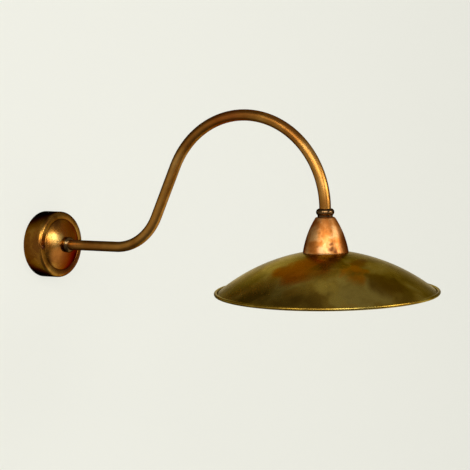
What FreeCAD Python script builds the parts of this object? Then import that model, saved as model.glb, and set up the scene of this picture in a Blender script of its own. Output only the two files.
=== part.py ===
import FreeCAD, Part

import math
import os

import Sketcher
from FreeCAD import Rotation, Vector

# Gooseneck wall sconce in aged brass: a round rose on the wall, a bent tube arm, and a
# wide spun shade that hangs from it under a copper cup.
# Wall frame: the rose's back lies on z = 0, z is the distance out from the wall, y is up.
# Lamp frame: origin on the copper cup's top plate, on the shade's axis, z is up.
# In the finished model the wall is the plane Y = 0, the arm reaches towards -Y, Z is up.

doc = FreeCAD.newDocument("GooseneckSconce")
sheet = doc.addObject("Spreadsheet::Sheet", "Sizes")

DRIVING_SIZES = [
    # rose cover
    ("rose_rear_radius", 49.2),
    ("rose_front_radius", 49.0),
    ("rose_depth", 31.0),
    ("rose_wall", 1.5),
    ("shoulder_round", 4.5),
    ("step_radius", 38.5),
    ("groove_depth", 0.8),
    ("groove_width", 1.1),
    ("step_rise", 0.6),
    ("dome_rise", 9.4),
    ("dome_radius", 85.0),
    ("land_radius", 13.0),
    # bent tube arm
    ("tube_radius", 7.5),
    ("tube_wall", 1.0),
    ("root_run", 83.9),
    ("root_bend_radius", 80.0),
    ("rise_angle", 64.0),
    ("slope_run", 78.0),
    ("neck_bend_radius", 121.0),
    ("end_run", 1.1),
    # turned collars at both ends of the arm
    ("collar_neck_radius", 9.8),
    ("bead_radius", 11.7),
    ("bead_round", 4.75),
    ("bead_to_mouth", 4.5),
    ("root_bead_height", 4.2),
    ("lamp_bead_height", 6.4),
    ("socket_depth", 6.0),
    # hollow threaded nipples, nuts and washers
    ("nipple_radius", 4.95),
    ("nipple_bore", 3.5),
    ("nut_flats", 14.0),
    ("nut_height", 4.0),
    ("washer_radius", 10.0),
    ("washer_height", 1.5),
    ("thread_stand_out", 1.5),
    # mounting bracket, folded from strip
    ("strap_thickness", 2.0),
    ("strap_width", 16.0),
    ("leg_place", 34.0),
    ("strap_bend", 1.5),
    ("ear_end", 45.0),
    ("ear_corner", 5.0),
    ("slot_pitch", 44.0),
    ("slot_length", 14.0),
    ("slot_width", 5.0),
    ("cable_hole_radius", 5.0),
    ("tongue_half_width", 17.0),
    ("tongue_drop", 31.0),
    ("earth_tab_rise", 20.0),
    ("earth_tab_half_width", 6.0),
    ("earth_height", 14.0),
    # cover screws
    ("cover_screw_place", 41.8),
    ("cover_screw_radius", 1.95),
    ("cover_screw_length", 9.0),
    ("cover_head_radius", 3.3),
    ("cover_head_height", 2.4),
    ("driver_slot", 0.9),
    # terminal block
    ("block_centre", 20.0),
    ("block_height", 12.0),
    ("block_half_width", 12.0),
    ("block_half_length", 8.0),
    ("lug_height", 4.0),
    ("lug_half_length", 4.5),
    ("lug_screw_place", 14.5),
    ("pole_pitch", 8.0),
    ("pole_height", 6.0),
    ("barrel_radius", 2.7),
    ("barrel_bore", 1.7),
    ("barrel_half_length", 7.0),
    ("clamp_screw_place", 4.0),
    ("clamp_screw_radius", 1.3),
    ("small_head_radius", 2.3),
    ("small_head_height", 1.6),
    # earth connection
    ("earth_screw_radius", 1.95),
    ("earth_head_radius", 3.5),
    ("earth_head_height", 2.2),
    ("earth_washer_radius", 4.4),
    ("earth_washer_height", 0.8),
    ("tag_thickness", 0.8),
    ("tag_barrel_radius", 1.7),
    # wiring
    ("lead_radius", 2.7),
    ("lead_start", 22.0),
    ("core_radius", 1.1),
    ("core_spread", 1.25),
    # copper cup over the lampholder
    ("cup_height", 45.2),
    ("cup_wall", 1.0),
    ("cup_base_radius", 29.4),
    ("cup_side_radius", 118.0),
    ("cup_crown_radius", 10.6),
    ("cup_crown_round", 3.0),
    # spun shade with a rolled edge
    ("shade_radius", 144.7),
    ("shade_drop", 50.8),
    ("shade_wall", 1.0),
    ("shade_arc_radius", 242.8),
    ("shade_hole_radius", 20.5),
    ("shade_land_radius", 27.4),
    ("rim_bead_radius", 2.2),
    ("rim_slope", 39.0),
    ("rim_curl", 140.0),
    # lampholder for a 27 mm screw lamp
    ("skirt_radius", 20.0),
    ("skirt_bore", 18.0),
    ("skirt_top", 30.0),
    ("skirt_mouth", 62.0),
    ("skirt_flange_radius", 24.0),
    ("skirt_flange_height", 1.5),
    ("skirt_ledge_radius", 16.5),
    ("skirt_ledge_height", 1.5),
    ("skirt_lip_height", 0.8),
    ("ring_radius", 26.5),
    ("ring_grip_radius", 24.0),
    ("ring_flange_height", 2.0),
    ("ring_height", 6.0),
    ("cap_top", 4.7),
    ("cap_boss_radius", 9.0),
    ("cap_boss_length", 8.3),
    ("cap_shoulder", 25.0),
    ("cap_bottom", 38.0),
    ("cap_wall", 1.2),
    ("cap_dome_radius", 14.0),
    ("core_disc_top", 24.0),
    ("core_disc_bottom", 33.0),
    ("core_disc_radius", 17.3),
    ("terminal_place", 9.0),
    ("wire_hole_radius", 1.5),
    ("wire_hole_depth", 7.0),
    ("holder_screw_height", 27.0),
    ("holder_screw_radius", 1.5),
    ("shell_bore", 13.35),
    ("shell_wall", 0.5),
    ("shell_length", 25.5),
    ("shell_hole_radius", 7.0),
    ("contact_width", 5.0),
    ("contact_wall", 0.4),
    ("contact_reach", 3.0),
    ("contact_root", 5.2),
    ("contact_dip", 2.1),
    ("liner_bore", 14.2),
    ("liner_radius", 17.7),
    # globe lamp
    ("lamp_cap_radius", 13.0),
    ("lamp_cap_wall", 0.5),
    ("lamp_cap_length", 22.0),
    ("lamp_cap_taper", 1.6),
    ("eyelet_radius", 4.2),
    ("eyelet_height", 1.5),
    ("insulator_radius", 11.0),
    ("insulator_height", 3.0),
    ("globe_radius", 22.5),
    ("glass_wall", 0.9),
    ("glass_neck_radius", 13.0),
    ("glass_neck_length", 11.7),
    ("glass_plug_length", 4.5),
    ("globe_join_angle", 39.0),
    ("globe_neck_sweep", 17.4),
    # clearances
    ("thread_clearance", 0.1),
    ("tube_clearance", 0.05),
    ("seat_gap", 0.1),
    ("contact_gap", 0.2),
    ("screw_clearance", 0.25),
]


class Size:
    """A length worked out from the sheet: its number now, and the expression that binds it."""

    def __init__(self, number, text):
        self.number = number
        self.text = text

    def __add__(self, other):
        return join(self, "+", other, self.number + number_of(other))

    def __radd__(self, other):
        return join(other, "+", self, number_of(other) + self.number)

    def __sub__(self, other):
        return join(self, "-", other, self.number - number_of(other))

    def __rsub__(self, other):
        return join(other, "-", self, number_of(other) - self.number)

    def __mul__(self, other):
        return join(self, "*", other, self.number * number_of(other))

    def __rmul__(self, other):
        return join(other, "*", self, number_of(other) * self.number)

    def __truediv__(self, other):
        return join(self, "/", other, self.number / number_of(other))

    def __neg__(self):
        return Size(-self.number, f"(0 - {self.text})")


def number_of(value):
    return value.number if isinstance(value, Size) else float(value)


def text_of(value):
    return value.text if isinstance(value, Size) else f"{float(value):.6f}"


def join(left, sign, right, number):
    return Size(number, f"({text_of(left)} {sign} {text_of(right)})")


def sine(angle):
    return Size(math.sin(math.radians(angle.number)), f"sin({angle.text})")


def cosine(angle):
    return Size(math.cos(math.radians(angle.number)), f"cos({angle.text})")


def root(value):
    return Size(math.sqrt(value.number), f"sqrt({value.text})")


class Cells:
    """Reads a cell of the sheet by its alias, as a Size."""

    def __getattr__(self, alias):
        return Size(float(sheet.get(alias)), f"Sizes.{alias}")


def fill_sheet():
    for row, (alias, number) in enumerate(DRIVING_SIZES, start=1):
        sheet.set(f"A{row}", alias)
        sheet.set(f"B{row}", str(number))
        sheet.setAlias(f"B{row}", alias)
    doc.recompute()


fill_sheet()
s = Cells()


# ---------------------------------------------------------------- drawing and shaping


def new_body(label):
    body = doc.addObject("PartDesign::Body", label)
    body.Label = label
    return body


def origin_plane(body, role):
    return next(f for f in body.Origin.OriginFeatures if f.Role == role)


def new_sketch(body, plane, height=None, shift=None):
    """A sketch on one of the body's own planes, raised along its normal or shifted along its x."""
    sketch = body.newObject("Sketcher::SketchObject", "Sketch")
    sketch.AttachmentSupport = (origin_plane(body, plane), "")
    sketch.MapMode = "FlatFace"
    if height is not None:
        sketch.setExpression("AttachmentOffset.Base.z", text_of(height))
    if shift is not None:
        sketch.setExpression("AttachmentOffset.Base.x", text_of(shift))
    return sketch


def bind(sketch, kind, places, value):
    """Adds one dimension to a sketch and ties it to the sheet."""
    index = sketch.addConstraint(Sketcher.Constraint(kind, *places, number_of(value)))
    if isinstance(value, Size):
        sketch.renameConstraint(index, f"size_{index}")
        sketch.setExpression(f"Constraints.size_{index}", value.text)


def bind_point(sketch, geometry, end, point):
    bind(sketch, "DistanceX", (-1, 1, geometry, end), point[0])
    bind(sketch, "DistanceY", (-1, 1, geometry, end), point[1])


def arc_through(start, end, radius, turn):
    """The arc under half a circle from start to end, turning left (1) or right (-1)."""
    chord = end - start
    half = chord.Length / 2
    side = Vector(-chord.y, chord.x, 0).normalize() * turn
    centre = (start + end) / 2 + side * math.sqrt(max(radius**2 - half**2, 0.0))
    first, last = (start, end) if turn > 0 else (end, start)
    angles = [math.atan2(p.y - centre.y, p.x - centre.x) for p in (first, last)]
    return Part.ArcOfCircle(Part.Circle(centre, Vector(0, 0, 1), radius), *angles)


def draw_path(sketch, steps, closed):
    """Draws lines and arcs end to end. A step is (x, y) or, reached by an arc, (x, y, radius, turn)."""
    ends = [Vector(number_of(p[0]), number_of(p[1]), 0) for p in steps]
    count = len(steps) if closed else len(steps) - 1
    tails = []
    for i in range(count):
        step = steps[(i + 1) % len(steps)]
        start, end = ends[i], ends[(i + 1) % len(steps)]
        if len(step) == 2:
            geometry = sketch.addGeometry(Part.LineSegment(start, end))
            head, tail = 1, 2
        else:
            radius, turn = step[2:]
            geometry = sketch.addGeometry(arc_through(start, end, number_of(radius), turn))
            head, tail = (1, 2) if turn > 0 else (2, 1)
            bind(sketch, "Radius", (geometry,), radius)
        if tails:
            sketch.addConstraint(Sketcher.Constraint("Coincident", *tails[-1], geometry, head))
        else:
            first = (geometry, head)
            if not closed:
                bind_point(sketch, geometry, head, steps[0])
        bind_point(sketch, geometry, tail, step)
        tails.append((geometry, tail))
    if closed:
        sketch.addConstraint(Sketcher.Constraint("Coincident", *tails[-1], *first))


def draw_circle(sketch, centre, radius):
    middle = Vector(number_of(centre[0]), number_of(centre[1]), 0)
    circle = Part.Circle(middle, Vector(0, 0, 1), number_of(radius))
    geometry = sketch.addGeometry(circle)
    bind(sketch, "Radius", (geometry,), radius)
    bind_point(sketch, geometry, 3, centre)


def draw_box(sketch, low, high):
    corners = [low, (high[0], low[1]), high, (low[0], high[1])]
    draw_path(sketch, corners, closed=True)


def draw_slot(sketch, centre, length, width):
    """A round-ended slot along x."""
    half = width / 2
    left = centre[0] - (length - width) / 2
    right = centre[0] + (length - width) / 2
    low, high = centre[1] - half, centre[1] + half
    steps = [
        (right, low),
        (right + half, centre[1], half, 1),
        (right, high, half, 1),
        (left, high),
        (left - half, centre[1], half, 1),
        (left, low, half, 1),
    ]
    draw_path(sketch, steps, closed=True)


def pad(body, sketch, length, symmetric=False, reverse=False):
    feature = body.newObject("PartDesign::Pad", "Pad")
    feature.Profile = sketch
    feature.setExpression("Length", text_of(length))
    feature.SideType = "Symmetric" if symmetric else "One side"
    feature.Reversed = reverse
    doc.recompute()
    return feature


def pocket(body, sketch, depth=None, reverse=False):
    """Cuts right through both ways, or to a depth one way, and makes sure that it cut."""
    before = body.Shape.Volume
    feature = body.newObject("PartDesign::Pocket", "Pocket")
    feature.Profile = sketch
    if depth is None:
        feature.Type = "ThroughAll"
        feature.SideType = "Symmetric"
    else:
        feature.setExpression("Length", text_of(depth))
        feature.Reversed = reverse
    doc.recompute()
    if body.Shape.Volume >= before:
        raise RuntimeError(f"a pocket of {body.Label} cuts nothing")
    return feature


def revolve(body, sketch, axis="V_Axis"):
    feature = body.newObject("PartDesign::Revolution", "Revolution")
    feature.Profile = sketch
    feature.ReferenceAxis = (sketch, [axis])
    feature.Angle = 360
    doc.recompute()
    return feature


def mirror(body, features, role="YZ_Plane"):
    feature = body.newObject("PartDesign::Mirrored", "Mirrored")
    feature.Originals = features
    feature.MirrorPlane = (origin_plane(body, role), [""])
    body.Tip = feature
    doc.recompute()
    return feature


def turned(label, steps):
    """A piece turned or spun about its z axis, from its outline in radius and height."""
    body = new_body(label)
    sketch = new_sketch(body, "XZ_Plane")
    draw_path(sketch, steps, closed=True)
    revolve(body, sketch)
    return body


def ring_outline(bore, radius, low, high):
    return [(bore, low), (radius, low), (radius, high), (bore, high)]


def hex_nut(label, low, high):
    """A flat hexagon nut on the hollow nipple's thread."""
    body = new_body(label)
    sketch = new_sketch(body, "XY_Plane", height=low)
    corner = s.nut_flats / math.sqrt(3)
    half = corner / 2
    flat = s.nut_flats / 2
    none = s.nut_flats * 0
    steps = [
        (corner, none),
        (half, flat),
        (-half, flat),
        (-corner, none),
        (-half, -flat),
        (half, -flat),
    ]
    draw_path(sketch, steps, closed=True)
    draw_circle(sketch, (none, none), s.nipple_radius + s.thread_clearance)
    pad(body, sketch, high - low)
    return body


# ---------------------------------------------------------------- where pieces go


def on_wall(body):
    """Turns a piece from the wall frame to the model: out from the wall becomes -Y."""
    body.Placement = FreeCAD.Placement(Vector(), Rotation(Vector(1, 0, 0), 90))
    return body


def arm_reach():
    bend = s.root_bend_radius * sine(s.rise_angle)
    slope = s.slope_run * cosine(s.rise_angle)
    neck = s.neck_bend_radius * (sine(s.rise_angle) + 1)
    return collar_mouth() + s.root_run + bend + slope + neck


def arm_rise():
    bend = s.root_bend_radius * (1 - cosine(s.rise_angle))
    slope = s.slope_run * sine(s.rise_angle)
    neck = s.neck_bend_radius * cosine(s.rise_angle)
    return bend + slope - neck


def lamp_collar_length():
    return s.lamp_bead_height + s.bead_to_mouth


def cup_crown_level():
    return arm_rise() - s.end_run - lamp_collar_length()


def on_lamp(body):
    """Hangs a piece from the lamp frame at the arm's end."""
    body.setExpression("Placement.Base.y", (-arm_reach()).text)
    body.setExpression("Placement.Base.z", cup_crown_level().text)
    return body


# ---------------------------------------------------------------- rose on the wall


def dome_face():
    return s.rose_depth + s.dome_rise


def collar_mouth():
    return dome_face() + s.root_bead_height + s.bead_to_mouth


def ear_face():
    return s.rose_depth - s.rose_wall


def rose_cover():
    """Spun cup with a drafted side, a rounded shoulder and a raised dome inside a groove."""
    dome_foot = s.step_radius - s.groove_width
    bore = s.nipple_radius + s.screw_clearance
    inner_front = s.rose_front_radius - s.rose_wall
    inner_round = s.shoulder_round / 2
    steps = [
        (s.rose_rear_radius, s.rose_wall * 0),
        (s.rose_front_radius, s.rose_depth - s.shoulder_round),
        (s.rose_front_radius - s.shoulder_round, s.rose_depth, s.shoulder_round, 1),
        (s.step_radius, s.rose_depth),
        (s.step_radius - s.groove_width / 2, s.rose_depth - s.groove_depth),
        (dome_foot, s.rose_depth + s.step_rise),
        (s.land_radius, dome_face(), s.dome_radius, 1),
        (bore, dome_face()),
        (bore, dome_face() - s.rose_wall),
        (s.land_radius, dome_face() - s.rose_wall),
        (dome_foot - s.rose_wall / 2, s.rose_depth - s.rose_wall + s.step_rise, s.dome_radius, -1),
        (s.step_radius - s.groove_width, ear_face()),
        (inner_front - inner_round, ear_face()),
        (inner_front, ear_face() - inner_round, inner_round, -1),
        (s.rose_rear_radius - s.rose_wall, s.rose_wall * 0),
    ]
    body = turned("rose_cover", steps)
    holes = new_sketch(body, "XY_Plane")
    for side in (1, -1):
        centre = (side * s.cover_screw_place, s.rose_wall * 0)
        draw_circle(holes, centre, s.cover_screw_radius + s.screw_clearance)
    pocket(body, holes)
    return on_wall(body)


def mounting_bracket():
    """Steel strip folded into two legs with tapped ears, with a tongue and an earth tab."""
    body = new_body("mounting_bracket")
    thick = s.strap_thickness
    outer = s.strap_bend + thick
    leg = s.leg_place
    ear_turn = leg + thick + s.strap_bend
    none = thick * 0
    half = new_sketch(body, "XZ_Plane")
    steps = [
        (none, none),
        (leg - s.strap_bend, none),
        (leg + thick, outer, outer, 1),
        (leg + thick, ear_face() - outer),
        (ear_turn, ear_face() - thick, s.strap_bend, -1),
        (s.ear_end, ear_face() - thick),
        (s.ear_end, ear_face()),
        (ear_turn, ear_face()),
        (leg, ear_face() - outer, outer, 1),
        (leg, outer),
        (leg - s.strap_bend, thick, s.strap_bend, -1),
        (none, thick),
    ]
    draw_path(half, steps, closed=True)
    strip = pad(body, half, s.strap_width, symmetric=True)
    mirror(body, [strip])

    tabs = new_sketch(body, "XY_Plane")
    overlap = s.strap_width / 2 - thick
    draw_box(tabs, (-s.tongue_half_width, -s.tongue_drop), (s.tongue_half_width, -overlap))
    tab_left = s.pole_pitch - s.earth_tab_half_width
    tab_right = s.pole_pitch + s.earth_tab_half_width
    draw_box(tabs, (tab_left, overlap), (tab_right, s.earth_tab_rise))
    pad(body, tabs, thick)

    holes = new_sketch(body, "XY_Plane")
    draw_circle(holes, (none, none), s.cable_hole_radius)
    draw_circle(holes, (s.pole_pitch, s.earth_height), s.earth_screw_radius + s.thread_clearance)
    for side in (1, -1):
        draw_slot(holes, (side * s.slot_pitch / 2, none), s.slot_length, s.slot_width)
        ear_hole = s.cover_screw_radius + s.thread_clearance
        draw_circle(holes, (side * s.cover_screw_place, none), ear_hole)
        lug_hole = s.clamp_screw_radius + s.thread_clearance
        draw_circle(holes, (side * s.lug_screw_place, -s.block_centre), lug_hole)
    pocket(body, holes)
    round_ear_corners(body)
    return on_wall(body)


def round_ear_corners(body):
    """Rounds the ears' outer corners, so that they clear the cover's inside."""
    end = s.ear_end.number
    names = []
    for index, edge in enumerate(body.Shape.Edges, start=1):
        points = [v.Point for v in edge.Vertexes]
        if len(points) == 2 and all(abs(abs(p.x) - end) < 0.01 for p in points):
            if abs(points[0].y - points[1].y) < 0.01:
                names.append(f"Edge{index}")
    cut = body.Tip
    feature = body.newObject("PartDesign::Fillet", "Fillet")
    feature.Base = (cut, names)
    feature.setExpression("Radius", s.ear_corner.text)
    body.Tip = feature
    doc.recompute()


def slotted_screw(label, place, seat, head_radius, head_height, shank_radius, shank_length):
    """Round-head slotted screw standing on its seat at x = place, and its twin across the middle."""
    body = new_body(label)
    sketch = new_sketch(body, "XZ_Plane", shift=place)
    none = shank_radius * 0
    crown = (head_radius * head_radius + head_height * head_height) / (2 * head_height)
    steps = [
        (none, seat - shank_length),
        (shank_radius, seat - shank_length),
        (shank_radius, seat),
        (head_radius, seat),
        (none, seat + head_height, crown, 1),
    ]
    draw_path(sketch, steps, closed=True)
    screw = revolve(body, sketch)
    cut = new_sketch(body, "XY_Plane", height=seat + head_height / 2)
    half = s.driver_slot / 2
    draw_box(cut, (place - head_radius, -half), (place + head_radius, half))
    slot = pocket(body, cut, head_height, reverse=True)
    return body, [screw, slot]


def cover_screws():
    body, features = slotted_screw(
        "cover_screws",
        s.cover_screw_place,
        s.rose_depth,
        s.cover_head_radius,
        s.cover_head_height,
        s.cover_screw_radius,
        s.cover_screw_length,
    )
    mirror(body, features)
    return on_wall(body)


# ---------------------------------------------------------------- root fixing of the arm


def inner_land():
    return dome_face() - s.rose_wall


def root_nut_back():
    return inner_land() - s.washer_height - s.nut_height


def root_washer():
    bore = s.nipple_radius + s.screw_clearance
    steps = ring_outline(bore, s.washer_radius, inner_land() - s.washer_height, inner_land())
    return on_wall(turned("root_washer", steps))


def root_locknut():
    return on_wall(hex_nut("root_locknut", root_nut_back(), inner_land() - s.washer_height))


def root_nipple():
    low = root_nut_back() - s.thread_stand_out
    high = collar_mouth() - s.socket_depth
    return on_wall(turned("root_nipple", ring_outline(s.nipple_bore, s.nipple_radius, low, high)))


def bead_collar(label, seat, bead_height):
    """Turned collar: a threaded neck, a round bead, and a socket that the tube is brazed in."""
    centre = s.bead_radius - s.bead_round
    neck_offset = s.collar_neck_radius - centre
    bead_foot = bead_height - root(s.bead_round * s.bead_round - neck_offset * neck_offset)
    lip = centre + root(s.bead_round * s.bead_round - s.bead_to_mouth * s.bead_to_mouth)
    bore = s.nipple_radius + s.thread_clearance
    socket = s.tube_radius + s.tube_clearance
    mouth = seat + bead_height + s.bead_to_mouth
    steps = [
        (bore, seat),
        (s.collar_neck_radius, seat),
        (s.collar_neck_radius, seat + bead_foot),
        (lip, mouth, s.bead_round, 1),
        (socket, mouth),
        (socket, mouth - s.socket_depth),
        (bore, mouth - s.socket_depth),
    ]
    return turned(label, steps)


# ---------------------------------------------------------------- bent tube and its lead


def centre_line(start, beyond_end):
    """The arm's centre line in height and distance from the wall, from start to past its end."""
    bend_start = collar_mouth() + s.root_run
    angle = s.rise_angle
    slope_foot = (
        s.root_bend_radius * (1 - cosine(angle)),
        bend_start + s.root_bend_radius * sine(angle),
    )
    slope_head = (
        slope_foot[0] + s.slope_run * sine(angle),
        slope_foot[1] + s.slope_run * cosine(angle),
    )
    return [
        (start * 0, start),
        (start * 0, bend_start),
        (*slope_foot, s.root_bend_radius, -1),
        slope_head,
        (arm_rise() + s.neck_bend_radius, arm_reach() - s.neck_bend_radius, s.neck_bend_radius, 1),
        (arm_rise(), arm_reach(), s.neck_bend_radius, 1),
        (arm_rise() - s.end_run - beyond_end, arm_reach()),
    ]


def swept(label, start, beyond_end, radii):
    """A round section, hollow when two radii are given, swept along the arm's centre line."""
    body = new_body(label)
    section = new_sketch(body, "XY_Plane", height=start)
    for radius in radii:
        draw_circle(section, (start * 0, start * 0), radius)
    path = new_sketch(body, "YZ_Plane")
    draw_path(path, centre_line(start, beyond_end), closed=False)
    doc.recompute()
    feature = body.newObject("PartDesign::AdditivePipe", "Pipe")
    feature.Profile = section
    feature.Spine = (path, [f"Edge{i + 1}" for i in range(len(path.Geometry))])
    doc.recompute()
    return on_wall(body)


def arm_tube():
    radii = (s.tube_radius, s.tube_radius - s.tube_wall)
    return swept("arm_tube", collar_mouth() - s.socket_depth, s.socket_depth, radii)


def inner_lead():
    past_collar = lamp_collar_length() + lead_end()
    return swept("inner_lead", s.lead_start, past_collar, (s.lead_radius,))


def lead_end():
    return s.cap_top + s.cap_boss_length + s.lead_radius


def bent_wire(label, routes, finish):
    """Thin cores: straight runs joined by arcs as large as the two runs at each bend allow."""
    solids = []
    for route in routes:
        points = [Vector(*[number_of(c) for c in p]) for p in route]
        edges = []
        last = points[0]
        for before, corner, after in zip(points, points[1:], points[2:]):
            first_run, second_run = corner - before, after - corner
            turn = first_run.getAngle(second_run)
            setback = 0.45 * min(first_run.Length, second_run.Length)
            radius = setback / math.tan(turn / 2)
            print(f"{label}: bend radius {radius:.1f} mm")
            first_run.normalize()
            second_run.normalize()
            enter = corner - first_run * setback
            leave = corner + second_run * setback
            inward = (second_run - first_run).normalize()
            middle = corner + inward * (radius / math.cos(turn / 2) - radius)
            edges.append(Part.LineSegment(last, enter).toShape())
            edges.append(Part.Arc(enter, middle, leave).toShape())
            last = leave
        edges.append(Part.LineSegment(last, points[-1]).toShape())
        path = Part.Wire(edges)
        circle = Part.Circle(points[0], points[1] - points[0], s.core_radius.number)
        section = Part.Wire([circle.toShape()])
        solids.append(path.makePipeShell([section], True, False))
    feature = doc.addObject("Part::Feature", label)
    feature.Label = label
    feature.Shape = Part.makeCompound(solids)
    return finish(feature)


def rose_cores():
    """Two cores from the lead to the block, and the earth core from the block to its tag."""
    level = s.strap_thickness + s.pole_height
    clamp = -s.block_centre
    near = -(s.block_centre - s.block_half_length) + s.pole_height
    halfway = (s.lead_start + level) / 2 - s.core_radius * 2
    none = level * 0
    live = [
        (-s.core_spread, none, s.lead_start),
        (-s.core_spread, none, halfway),
        (-s.pole_pitch, near, level),
        (-s.pole_pitch, clamp, level),
    ]
    neutral = [
        (s.core_spread, none, s.lead_start),
        (s.core_spread, none, halfway),
        (none, near, level),
        (none, clamp, level),
    ]
    tag_level = s.strap_thickness + s.tag_barrel_radius
    tag_end = s.earth_height - s.earth_washer_radius * 2
    earth = [
        (s.pole_pitch, tag_end, tag_level),
        (s.pole_pitch, tag_end - s.pole_height, tag_level),
        (s.pole_pitch, near, level),
        (s.pole_pitch, clamp, level),
    ]
    return bent_wire("rose_cores", [live, neutral, earth], on_wall)


def holder_cores():
    """Two cores from the end of the lead down into the lampholder's terminals."""
    top = -lead_end()
    foot = -s.core_disc_top
    bare_end = foot - s.wire_hole_depth + s.core_radius
    drop = (foot - top) / 4
    none = top * 0
    routes = []
    for side in (1, -1):
        route = [
            (side * s.core_spread, none, top),
            (side * s.core_spread, none, top + drop),
            (side * s.terminal_place, none, foot - drop * 0.5),
            (side * s.terminal_place, none, bare_end),
        ]
        routes.append(route)
    return bent_wire("holder_cores", routes, place_on_lamp)


def place_on_lamp(feature):
    feature.Placement = FreeCAD.Placement(
        Vector(0, -arm_reach().number, cup_crown_level().number), Rotation()
    )
    return feature


# ---------------------------------------------------------------- terminal block and earth


def terminal_block():
    """Three-pole moulded block with end lugs, wire bores and screw wells."""
    body = new_body("terminal_block")
    base = s.strap_thickness
    middle = -s.block_centre
    lugs = new_sketch(body, "XY_Plane", height=base)
    draw_slot(lugs, (base * 0, middle), s.tongue_half_width * 2, s.lug_half_length * 2)
    pad(body, lugs, s.lug_height)
    main = new_sketch(body, "XY_Plane", height=base)
    low = (-s.block_half_width, middle - s.block_half_length)
    high = (s.block_half_width, middle + s.block_half_length)
    draw_box(main, low, high)
    pad(body, main, s.block_height)
    bores = new_sketch(body, "XZ_Plane")
    wells = new_sketch(body, "XY_Plane", height=base + s.block_height)
    for pole in (-1, 0, 1):
        place = pole * s.pole_pitch
        draw_circle(bores, (place, base + s.pole_height), s.barrel_radius + s.seat_gap)
        for row in (-1, 1):
            centre = (place, middle + row * s.clamp_screw_place)
            draw_circle(wells, centre, s.clamp_screw_radius + s.screw_clearance)
    pocket(body, bores)
    pocket(body, wells, s.block_height - s.pole_height)
    holes = new_sketch(body, "XY_Plane")
    for side in (-1, 1):
        centre = (side * s.lug_screw_place, middle)
        draw_circle(holes, centre, s.clamp_screw_radius + s.screw_clearance)
    pocket(body, holes)
    return on_wall(body)


def terminal_barrels():
    """Three brass tubes in the block, each with two tapped holes for its clamp screws."""
    body = new_body("terminal_barrels")
    middle = -s.block_centre
    level = s.strap_thickness + s.pole_height
    tubes = new_sketch(body, "XZ_Plane", height=-(middle + s.barrel_half_length))
    taps = new_sketch(body, "XY_Plane", height=level)
    for pole in (-1, 0, 1):
        draw_circle(tubes, (pole * s.pole_pitch, level), s.barrel_radius)
        draw_circle(tubes, (pole * s.pole_pitch, level), s.barrel_bore)
        for row in (-1, 1):
            centre = (pole * s.pole_pitch, middle + row * s.clamp_screw_place)
            draw_circle(taps, centre, s.clamp_screw_radius + s.thread_clearance)
    pad(body, tubes, s.barrel_half_length * 2)
    pocket(body, taps, s.barrel_radius, reverse=True)
    return on_wall(body)


def clamp_screw_foot():
    return s.strap_thickness + s.pole_height + s.core_radius + s.seat_gap


def terminal_screws():
    """Six slotted clamp screws in the block's wells."""
    body = new_body("terminal_screws")
    foot = clamp_screw_foot()
    length = s.barrel_radius * 1.6
    shanks = new_sketch(body, "XY_Plane", height=foot)
    slots = new_sketch(body, "XY_Plane", height=foot + length)
    half = s.driver_slot / 3
    for pole in (-1, 0, 1):
        for row in (-1, 1):
            place = pole * s.pole_pitch
            along = -s.block_centre + row * s.clamp_screw_place
            draw_circle(shanks, (place, along), s.clamp_screw_radius)
            low = (place - s.clamp_screw_radius * 1.2, along - half)
            high = (place + s.clamp_screw_radius * 1.2, along + half)
            draw_box(slots, low, high)
    pad(body, shanks, length)
    pocket(body, slots, s.driver_slot)
    return on_wall(body)


def block_screws():
    """Two screws that hold the block's lugs to the bracket's tongue."""
    seat = s.strap_thickness + s.lug_height
    body, features = slotted_screw(
        "block_screws",
        s.lug_screw_place,
        seat,
        s.small_head_radius,
        s.small_head_height,
        s.clamp_screw_radius,
        seat - s.contact_gap,
    )
    mirror(body, features)
    body = on_wall(body)
    body.setExpression("Placement.Base.z", (-s.block_centre).text)
    return body


def earth_tag():
    """Crimped ring tag on the earth core: a flat ring, a short tail and a barrel."""
    body = new_body("earth_tag")
    ring = new_sketch(body, "XY_Plane", height=s.strap_thickness)
    centre = (s.pole_pitch, s.earth_height)
    draw_circle(ring, centre, s.earth_washer_radius)
    draw_circle(ring, centre, s.earth_screw_radius + s.thread_clearance)
    pad(body, ring, s.tag_thickness)
    tail_end = s.earth_height - s.earth_washer_radius * 2
    tail = new_sketch(body, "XY_Plane", height=s.strap_thickness)
    low = (s.pole_pitch - s.tag_barrel_radius, tail_end)
    high = (s.pole_pitch + s.tag_barrel_radius, s.earth_height - s.earth_screw_radius * 1.5)
    draw_box(tail, low, high)
    pad(body, tail, s.tag_thickness)
    barrel = new_sketch(body, "XZ_Plane", height=-tail_end)
    draw_circle(barrel, (s.pole_pitch, s.strap_thickness + s.tag_barrel_radius), s.tag_barrel_radius)
    pad(body, barrel, s.earth_washer_radius - s.tag_thickness, reverse=True)
    return on_wall(body)


def earth_washer_face():
    return s.strap_thickness + s.tag_thickness


def earth_washer():
    low = earth_washer_face()
    bore = s.earth_screw_radius + s.thread_clearance
    radius = s.earth_washer_radius - s.tag_thickness / 2
    body = new_body("earth_washer")
    sketch = new_sketch(body, "XY_Plane", height=low)
    draw_circle(sketch, (s.pole_pitch, s.earth_height), radius)
    draw_circle(sketch, (s.pole_pitch, s.earth_height), bore)
    pad(body, sketch, s.earth_washer_height)
    return on_wall(body)


def earth_screw():
    seat = earth_washer_face() + s.earth_washer_height
    body, _ = slotted_screw(
        "earth_screw",
        s.pole_pitch,
        seat,
        s.earth_head_radius,
        s.earth_head_height,
        s.earth_screw_radius,
        seat - s.contact_gap,
    )
    body = on_wall(body)
    body.setExpression("Placement.Base.z", s.earth_height.text)
    return body


# ---------------------------------------------------------------- lamp end of the arm


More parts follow.
